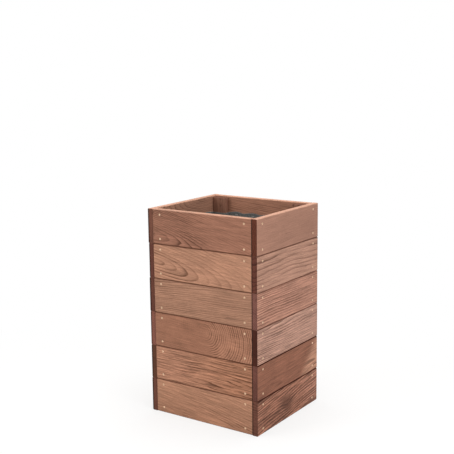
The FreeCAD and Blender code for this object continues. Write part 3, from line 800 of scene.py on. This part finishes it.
def plainLook(seeds, number):
    s = raisedFloor
    look = anyLook(seeds[0] + number)
    tone = s["woodTones"][number % len(s["woodTones"])]
    look.update({"seed": seeds[1] + number, "stain": tone, "endStain": s["endTone"], "gap": 0.0})
    return look


def slatX(number):
    return (number - raisedFloor["slatCount"] // 2) * raisedFloor["slatStep"]


def makeFloor():
    s = raisedFloor
    holes = [(x, s["bearerScrewZ"]) for x in s["bearerScrewX"]]
    pair = (("front", math.pi, -s["bearerFace"]), ("back", 0.0, s["bearerFace"]))
    for number, (name, turn, y) in enumerate(pair):
        at = {"turn": (0, 0, turn), "place": (0, y, s["bearerFoot"])}
        sawBoard(name + "Bearer", name + "_bearer", "plain_wood", s["bearer"], at,
                 plainLook(s["bearerSeeds"], number), plainWood, holes)
    middle = s["slatWidth"] / 2
    holes = [(x, middle) for x in (s["slatScrewX"], s["noHole"])]
    for number in range(s["slatCount"]):
        look = plainLook(s["slatSeeds"], number)
        look["edge"] = s["slatEdge"]
        length = s["shortSlat" if number in (0, s["slatCount"] - 1) else "longSlat"]
        at = {"turn": (-quarter, 0, quarter), "place": (slatX(number) + middle, 0, s["slatTop"])}
        sawBoard(f"floorSlat{number + 1}", f"floor_slat_{number + 1}", "plain_wood",
                 (s["slatWidth"], s["slatThickness"], length), at, look, plainWood, holes)


makeFloor()
print("raised floor laid")


# fixings: one tree sets a screw or staple on every marked point of a wall

def makeFixingTree():
    b, given = newTree("fixings", {
        "Object": ["Fixing"], "Vector": ["Facing"], "Float": ["Twist"], "Int": ["Seed"],
        "Material": ["Finish"]})
    master = b.add("GeometryNodeObjectInfo", {"Object": given["Fixing"]})["Geometry"]
    facing = b.add("FunctionNodeEulerToRotation", {0: given["Facing"]})[0]
    driven = b.shape("InstanceOnPoints", {
        "Points": given["Geometry"], "Instance": master, "Rotation": facing})
    chance = b.add("FunctionNodeRandomValue", {"Seed": given["Seed"]}, data_type="FLOAT")[1]
    spin = b.times(b.minus(chance, 0.5), given["Twist"])
    driven = b.shape("RotateInstances", {
        "Instances": driven, "Rotation": b.combine(0.0, 0.0, spin), "Local Space": True})
    return endTree(b, driven, given["Finish"])


fixingTree = makeFixingTree()


def mottledFinish(name, finish):
    # a base colour with layers over it, each where its noise is high
    material, b, shader = newFinish(name)
    coords = b.coords()
    marks = {label: b.cloudy(coords, *setting)[0] for label, setting in finish["marks"].items()}
    colour = linear(finish["base"])
    for label, limits, layer in finish["layers"]:
        colour = b.mixColour(b.ramp(marks[label], *limits), colour, linear(layer))
    b.feed(shader["Base Color"], colour)
    label, *limits = finish["rough"]
    b.feed(shader["Roughness"], b.slope(marks[label], *limits))
    for socket, value in finish["sockets"].items():
        b.feed(shader[socket], value)
    b.relief(shader, *finish["relief"], b.weighed(marks, finish["heights"]))
    return material


def metalFinish(name, bright, dim, rough):
    return mottledFinish(name, {
        "marks": {"spangle": (420, 3), "dull": (1900, 2)}, "base": bright,
        "layers": [("spangle", (0.35, 0.7), dim)], "rough": ("dull", 0.3, 0.7, *rough),
        "sockets": {"Metallic": 1.0}, "relief": (0.15, 0.0001), "heights": {"dull": 1.0}})


screwSteel = metalFinish("zincScrewSteel", (242, 211, 180), (194, 158, 128), (0.26, 0.42))
stapleSteel = metalFinish("stapleWire", (226, 227, 227), (180, 182, 184), (0.5, 0.66))


def onWall(spot, x, depth, z):
    # from the middle of a wall, its outer face and the ground
    local = Matrix.Rotation(math.radians(spot["turn"]), 3, "Z") @ Vector((x, depth, 0))
    return spot["place"][0] + local.x, spot["place"][1] + local.y, z


def setFixings(name, node, slot, master, spots, facing, twist, seed, finish):
    piece = newPiece(name, newMesh(name, spots))
    growMesh(piece, fixingTree, {
        "Fixing": master, "Facing": facing, "Twist": twist, "Seed": seed, "Finish": finish})
    hand(piece, slot, node)


# countersunk screws with a six-lobe drive

woodScrew = {
    "head": 4.0, "rim": 0.4, "edge": (0.22, 0.18), "shank": 2.0, "sides": 18, "sink": 0.3,
    "tip": (7, 2, 0.5),   # length of the taper, length of the point, share of the shank where they meet
    "drive": 1.8, "lobes": 6, "lobe": 0.3, "driveDepth": 1.5, "driveLip": (0.14, 0.12), "driveFloor": 0.2,
    "narrow": (0.72, 0.7),   # drive and lobe at the bottom of the recess, against the top
    "wallLength": 40, "slatLength": 30,
    "twist": 6.28, "wallSeed": 3, "bearerSeed": 11, "slatSeed": 17,
}


def turnScrew(name, length):
    # rows of radius, lobe and height, from the bottom of the drive round the head to the tip
    s = woodScrew
    head, shank, drive, lobe = s["head"], s["shank"], s["drive"], s["lobe"]
    wider, lip = s["driveLip"]
    inset, drop = s["edge"]
    taper, point, left = s["tip"]
    rows = [
        (drive * s["narrow"][0], lobe * s["narrow"][1], -s["driveDepth"]), (drive, lobe, -lip),
        (drive + wider, lobe, 0.0), (head - inset, 0, 0.0), (head, 0, -drop), (head, 0, -s["rim"]),
        (shank, 0, -s["rim"] - (head - shank)), (shank, 0, -length + taper),
        (shank * left, 0, -length + point)]
    count = s["sides"]
    points = []
    for radius, wave, z in rows:
        for i in range(count):
            a = 2 * math.pi * i / count
            r = radius + wave * math.cos(s["lobes"] * a)
            points.append((r * math.cos(a), r * math.sin(a), z))
    faces = []
    after = [(i + 1) % count for i in range(count)]
    for start in range(0, len(points) - count, count):
        faces += [(start + i, start + count + i, start + count + j, start + j) for i, j in enumerate(after)]
    last = len(points) - count
    bottom = len(points)
    points += [(0, 0, -s["driveDepth"] - s["driveFloor"]), (0, 0, -length)]
    faces += [(i, j, bottom) for i, j in enumerate(after)]
    faces += [(last + j, last + i, bottom + 1) for i, j in enumerate(after)]
    mesh = newMesh(name, points, faces=faces)
    faceOutwards(mesh)
    return newPiece(name, mesh)


def driveScrews():
    s = woodScrew
    wallScrew = turnScrew("wallScrew", s["wallLength"])
    slatScrew = turnScrew("slatScrew", s["slatLength"])
    facings = {"front": (quarter, 0, 0), "right": (0, quarter, 0),
               "back": (-quarter, 0, 0), "left": (0, -quarter, 0)}

    def drive(name, node, master, spots, facing, seed):
        setFixings(name, node, "screw_steel", master, spots, facing, s["twist"], seed, screwSteel)

    for number, (wall, spot) in enumerate(wallBoards["walls"].items()):
        spots = []
        for course in range(1, wallBoards["courses"] + 1):
            foot = wallBoards["width"] * (course - 1)
            depth = planedOff[wall, course] + s["sink"]
            for x in (-spot["screwX"], spot["screwX"]):
                spots += [onWall(spot, x, depth, foot + z) for z in wallBoards["screwZ"]]
        seed = s["wallSeed"] + number
        drive(f"{wall}WallScrews", f"{wall}_wall_screws", wallScrew, spots, facings[wall], seed)
    floor = raisedFloor
    inside = floor["bearerFace"] + s["sink"]
    near, far = floor["bearerScrewX"]
    for name, side, facing in (("front", -1, facings["back"]), ("back", 1, facings["front"])):
        height = floor["bearerFoot"] + floor["bearerScrewZ"]
        spots = [(x, side * inside, height) for x in (-far, -near, near, far)]
        seed = s["bearerSeed"] + side
        drive(f"{name}BearerScrews", f"{name}_bearer_screws", wallScrew, spots, facing, seed)
    spots = [(slatX(number), y, floor["slatTop"] - s["sink"])
             for number in range(floor["slatCount"]) for y in (-floor["slatScrewX"], floor["slatScrewX"])]
    drive("slatScrews", "slat_screws", slatScrew, spots, (0, 0, 0), s["slatSeed"])
    for master in (wallScrew, slatScrew):
        bpy.data.objects.remove(master)


driveScrews()
print("screws driven")


# staples along the top of the liner

linerStaples = {
    "frontX": (-115.5, -38.5, 38.5, 115.5), "sideY": (-124.5, -41.5, 41.5, 124.5),
    "height": 708, "inFromWall": 26.0, "twist": 0.12, "seed": 31,
    "crown": 12.0, "wire": 0.7, "band": 1.2, "leg": 10.0, "shoulder": 0.9, "shoulderSteps": 3,
    "tip": (1.2, 0.1),   # length and bluntness
    "facing": {"front": (-quarter, 0, 0), "back": (quarter, 0, 0),
               "right": (quarter, 0, -quarter), "left": (quarter, 0, quarter)},
}


def bendStaple():
    s = linerStaples
    half, wire, band, leg, r = s["crown"] / 2, s["wire"], s["band"], s["leg"], s["shoulder"]
    cut, blunt = s["tip"]
    # outer and inner line of the wire, from one tip over the crown to the other
    line = [(half - wire / 2, -leg, half - wire / 2 - blunt, -leg),
            (half, -leg + cut, half - wire, -leg + cut)]
    for k in range(s["shoulderSteps"] + 1):
        a = quarter * k / s["shoulderSteps"]
        line.append((half - r + r * math.cos(a), -r + r * math.sin(a),
                     half - r + (r - wire) * math.cos(a), -r + (r - wire) * math.sin(a)))
    line = [(-ox, oz, -ix, iz) for ox, oz, ix, iz in line] + line[::-1]
    points, faces = [], []
    for ox, oz, ix, iz in line:
        points += [(ox, -band / 2, oz), (ox, band / 2, oz), (ix, band / 2, iz), (ix, -band / 2, iz)]
    for k in range(0, len(points) - 4, 4):
        for i, j in ((0, 1), (1, 2), (2, 3), (3, 0)):
            faces.append((k + i, k + j, k + 4 + j, k + 4 + i))
    end = len(points) - 4
    faces += [(3, 2, 1, 0), (end, end + 1, end + 2, end + 3)]
    mesh = newMesh("staple", points, faces=faces)
    faceOutwards(mesh)
    return newPiece("staple", mesh)


def driveStaples():
    master = bendStaple()
    s = linerStaples
    for number, (wall, spot) in enumerate(wallBoards["walls"].items()):
        row = s["frontX"] if wall in ("front", "back") else s["sideY"]
        spots = [onWall(spot, x, s["inFromWall"], s["height"]) for x in row]
        setFixings(f"{wall}LinerStaples", f"{wall}_liner_staples", "staple_steel", master, spots,
                   s["facing"][wall], s["twist"], s["seed"] + number, stapleSteel)
    bpy.data.objects.remove(master)


driveStaples()
print("staples driven")


# fleece liner: one cut of fleece, sewn at four corners, hung inside the walls

fleeceLiner = {
    "wide": 213.2, "deep": 189.2, "postWide": 153.2, "postDeep": 165.2, "top": 719.6, "floor": 88.9,
    "step": 5.0, "corner": 9, "postCorner": 4, "cornerSteps": 6, "cut": (1.74, 1.70), "thickness": 0.7,
    "hem": ((-0.4, 20), (-0.4, 8), (-0.3, 1), (0.05, 0), (0.3, 1)),   # set-in and drop of each row
    "inset": 0.32, "firstRow": 4, "fineRows": (4, 40), "rowStep": 9, "foot": 16, "footSteps": 6,
    "floorRings": (0.97, 0.92, 0.86, 0.79, 0.71, 0.62, 0.52, 0.42, 0.32, 0.22, 0.12, 0.05),
    "floorRipple": 4.5, "floorFlat": 0.4, "middle": 1.2,
}
linerFolds = {   # how the fleece falls, in mm
    "billow": 13.0, "billowLeast": 0.2, "billowDepth": 200, "footDepth": 90, "footFlat": 0.6, "footLift": 4,
    "pucker": 3.0, "creases": 5, "creaseReach": 48, "crinkle": 1.1,
    "sag": 4.5, "sagIn": (0.8, 55), "sagDown": 70, "stapleFlat": 26, "stapleHold": 21,
    "hemBehind": (0.8, 60), "seamLip": 1.5, "seamWidth": 2.4,
    # noise waves laid over each other: share, width, height and level of each
    "broad": ((1, 70, 320, 7), (0.45, 30, 140, 3)), "broadMore": 0.3,
    "small": ((1, 13, 20, 0), (0.5, 6, 9, 0)), "smallMore": 0.5,
    "lifted": ((1, 30, 1, 3),), "rippled": ((1, 45, 1, 11), (0.5, 17, 1, 5)), "rippledMore": 0.3,
}
linerStitches = {
    "pitch": 5.5, "long": 4.0, "thick": 0.8, "proud": 0.12, "skew": 0.22, "hemDrop": 16, "seamSide": 6.0,
    "seamStart": 2, "seed": 5, "segments": 6, "rings": 5,
}


def waver(waves, p, z=0.0):
    return sum(share * noise.noise(Vector((p.x / wide, p.y / wide, z / tall + level)))
               for share, wide, tall, level in waves)


def linerPath():
    # plan of the liner round the posts, corners rounded, as points with their inward direction
    s = fleeceLiner
    x, y, a, b = s["wide"], s["deep"], s["postWide"], s["postDeep"]
    half = [Vector(c) for c in ((-a, -y), (a, -y), (a, -b), (x, -b), (x, b), (a, b))]
    corners = half + [-c for c in half]   # the other half lies opposite
    points = []
    for i, here in enumerate(corners):
        last, following = corners[i - 1], corners[(i + 1) % len(corners)]
        arrive, leave = (here - last).normalized(), (following - here).normalized()
        # every third corner goes round a post
        r = s["postCorner" if i % 3 == 2 else "corner"]
        for k in range(s["cornerSteps"] + 1):
            t = k / s["cornerSteps"]
            p = (here - arrive * r) * (1 - t) ** 2 + here * 2 * t * (1 - t) + (here + leave * r) * t ** 2
            along = (arrive * (1 - t) + leave * t).normalized()
            points.append((p, Vector((-along.y, along.x))))
        start = here + leave * r
        nextR = s["postCorner" if i % 3 == 1 else "corner"]
        run = (following - here).length - r - nextR
        steps = max(1, int(run / s["step"]))
        for k in range(1, steps):
            points.append((start + leave * run * k / steps, Vector((-leave.y, leave.x))))
    return points


def linerRows():
    # set-in and height of each row: hem behind, over the top edge, down the wall, round the foot
    s = fleeceLiner
    top, foot = s["top"], s["foot"]
    fineStep, fineDepth = s["fineRows"]
    rows = [(inset, top - drop) for inset, drop in s["hem"]]
    level = top - s["firstRow"]
    while level > s["floor"] + foot:
        rows.append((s["inset"], level))
        level -= s["rowStep"] if level < top - fineDepth else fineStep
    for k in range(s["footSteps"] + 1):
        a = quarter * k / s["footSteps"]
        rows.append((s["inset"] + foot * (1 - math.cos(a)), s["floor"] + foot * (1 - math.sin(a))))
    return rows


def hangPoint(p, inward, inset, z, stapled, sewn):
    s, f = fleeceLiner, linerFolds
    under = s["top"] - z
    low = max(0.0, 1 - (z - s["floor"]) / f["footDepth"])
    fromStaple = z - linerStaples["height"]
    staple = min(stapled, key=lambda q: (p - q).length)
    gap = (p - staple).length
    free = 1 - math.exp(-(gap / f["stapleFlat"]) ** 2)
    loose = 1 - math.exp(-(gap / f["stapleHold"]) ** 4) * math.exp(-(fromStaple / f["stapleHold"]) ** 4)
    # broad folds, creases that run out from the staples, then crinkles
    deeper = f["billowLeast"] + (1 - f["billowLeast"]) * min(1.0, under / f["billowDepth"])
    broad = max(0.0, waver(f["broad"], p, z) + f["broadMore"])
    hung = broad * f["billow"] * deeper * (1 - f["footFlat"] * low)
    side = Vector((inward.y, -inward.x)).dot(p - staple)
    crease = math.cos(f["creases"] * math.atan2(side, -fromStaple))
    crease *= math.exp(-math.hypot(side, fromStaple) / f["creaseReach"])
    small = max(0.0, waver(f["small"], p, z) + f["smallMore"])
    hung += max(0.0, crease) * f["pucker"] + small * f["crinkle"]
    sagShare, sagReach = f["sagIn"]
    hung += sagShare * f["sag"] * free * math.exp(-under / sagReach)
    hung = max(0.0, loose * hung)
    if inset > 0:
        fromSeam = min((p - q).length for q in sewn)
        hung += f["seamLip"] * math.exp(-(fromSeam / f["seamWidth"]) ** 2)
    else:
        share, reach = f["hemBehind"]
        hung *= share * math.exp(-under / reach)
    q = p + inward * (inset + hung)
    lift = low * max(0.0, waver(f["lifted"], p)) * f["footLift"]
    dip = f["sag"] * free * math.exp(-under / f["sagDown"])
    return q.x, q.y, z + lift - dip


def makeStitchTree():
    b, given = newTree("stitches", {
        "Float": ["Pitch", "Long", "Thick", "Skew"], "Int": ["Seed"], "Material": ["Finish"]})
    line = b.shape("MeshToCurve", {"Mesh": given["Geometry"]})
    spots = b.add("GeometryNodeCurveToPoints", {"Curve": line, "Length": given["Pitch"]}, mode="LENGTH")
    loop = b.shape("MeshUVSphere", {
        "Segments": linerStitches["segments"], "Rings": linerStitches["rings"], "Radius": 0.5})
    loop = b.shape("SetShadeSmooth", {"Geometry": loop})
    sewn = b.shape("InstanceOnPoints", {
        "Points": spots["Points"], "Instance": loop, "Rotation": spots["Rotation"],
        "Scale": b.combine(given["Thick"], given["Thick"], given["Long"])})
    chance = b.add("FunctionNodeRandomValue", {"Seed": given["Seed"]}, data_type="FLOAT")[1]
    slant = b.times(b.minus(chance, 0.5), given["Skew"])
    sewn = b.shape("RotateInstances", {
        "Instances": sewn, "Rotation": b.combine(slant, slant, 0.0), "Local Space": True})
    return endTree(b, sewn, given["Finish"])


threadFinish = {
    "marks": {"strand": (2600, 2), "worn": (60, 2)}, "base": (196, 191, 178),
    "layers": [("strand", (0.35, 0.65), (142, 138, 128)), ("worn", (0.5, 0.75, 0, 0.5), (120, 114, 104))],
    "rough": ("strand", 0.3, 0.7, 0.65, 0.85), "sockets": {},
    "relief": (0.4, 0.0002), "heights": {"strand": 1.0},
}
fleeceFinish = {
    "marks": {"felt": (900, 4, 0.65), "clump": (150, 3), "dust": (9, 3)}, "base": (70, 71, 72),
    "layers": [("felt", (0.36, 0.66), (122, 122, 118)), ("clump", (0.5, 0.72, 0, 0.5), (88, 87, 83)),
               ("dust", (0.45, 0.8, 0, 0.3), (136, 128, 116))],
    "rough": ("felt", 0.3, 0.7, 0.85, 1.0), "sockets": {"Sheen Weight": 0.25, "Specular IOR Level": 0.12},
    "relief": (0.5, 0.0006), "heights": {"felt": 1.0, "clump": 0.7},
}


def sewLiner(path, rows, sewn, points):
    # one row of stitches round the hem and one beside each corner seam, just proud of the inner face
    s = linerStitches
    n = len(path)
    spans = [0.0]
    for last, here in zip(path, path[1:]):
        spans.append(spans[-1] + (here[0] - last[0]).length)
    proud = fleeceLiner["thickness"] / 2 + s["proud"]
    hemLevel = fleeceLiner["top"] - s["hemDrop"]
    hemRow = min(range(len(fleeceLiner["hem"]), len(rows)), key=lambda r: abs(rows[r][1] - hemLevel))
    lines = [[(hemRow, i) for i in range(n)] + [(hemRow, 0)]]
    for corner in sewn:
        at = min(range(n), key=lambda i: (path[i][0] - corner).length)
        beside = min(range(n), key=lambda i: abs(spans[i] - spans[at] - s["seamSide"]))
        footRow = len(rows) - fleeceLiner["footSteps"] - 1
        lines.append([(r, beside) for r in range(hemRow + s["seamStart"], footRow)])
    spots, edges, known = [], [], {}
    for line in lines:
        for r, i in line:
            if (r, i) not in known:
                known[r, i] = len(spots)
                spots.append(Vector(points[r * n + i]) + path[i][1].to_3d() * proud)
        edges += [(known[a], known[b]) for a, b in zip(line, line[1:])]
    piece = newPiece("linerStitches", newMesh("linerStitches", spots, edges))
    growMesh(piece, makeStitchTree(), {
        "Pitch": s["pitch"] * mm, "Long": s["long"] * mm, "Thick": s["thick"] * mm, "Skew": s["skew"],
        "Seed": s["seed"], "Finish": mottledFinish("linerThread", threadFinish)})
    hand(piece, "liner_fleece")
    return piece


def hangLiner():
    s = fleeceLiner
    path = linerPath()
    rows = linerRows()
    stapled = [Vector((x, side * s["deep"])) for x in linerStaples["frontX"] for side in (-1, 1)]
    stapled += [Vector((side * s["wide"], y)) for y in linerStaples["sideY"] for side in (-1, 1)]
    sewn = [Vector((x * s["postWide"], y * s["postDeep"])) for x in (-1, 1) for y in (-1, 1)]
    points = []
    for inset, z in rows:
        points += [hangPoint(p, inward, inset, z, stapled, sewn) for p, inward in path]
    # floor of the bag, closing towards the middle
    n = len(path)
    foot = points[-n:]
    for share in s["floorRings"]:
        for point in foot:
            q = Vector(point) * share
            ripple = max(0.0, waver(linerFolds["rippled"], q) + linerFolds["rippledMore"])
            points.append((q.x, q.y, s["floor"] + ripple * s["floorRipple"] * (1 - s["floorFlat"] * share)))
    after = [(i + 1) % n for i in range(n)]
    faces = []
    for start in range(0, len(points) - n, n):
        faces += [(start + i, start + j, start + n + j, start + n + i) for i, j in enumerate(after)]
    stitches = sewLiner(path, rows, sewn, points)
    middle = len(points)
    points.append((0, 0, s["floor"] + s["middle"]))
    faces += [(middle - n + i, middle - n + j, middle) for i, j in enumerate(after)]
    mesh = newMesh("fleeceLiner", points, faces=faces)
    faceOutwards(mesh)
    mesh.shade_smooth()
    mesh.materials.append(mottledFinish("linerFleece", fleeceFinish))
    piece = newPiece("fleeceLiner", mesh)
    felt = piece.modifiers.new("felt", "SOLIDIFY")
    felt.thickness = s["thickness"] * mm
    felt.offset = 0
    settle(piece)
    hand(piece, "liner_fleece", "liner")


hangLiner()
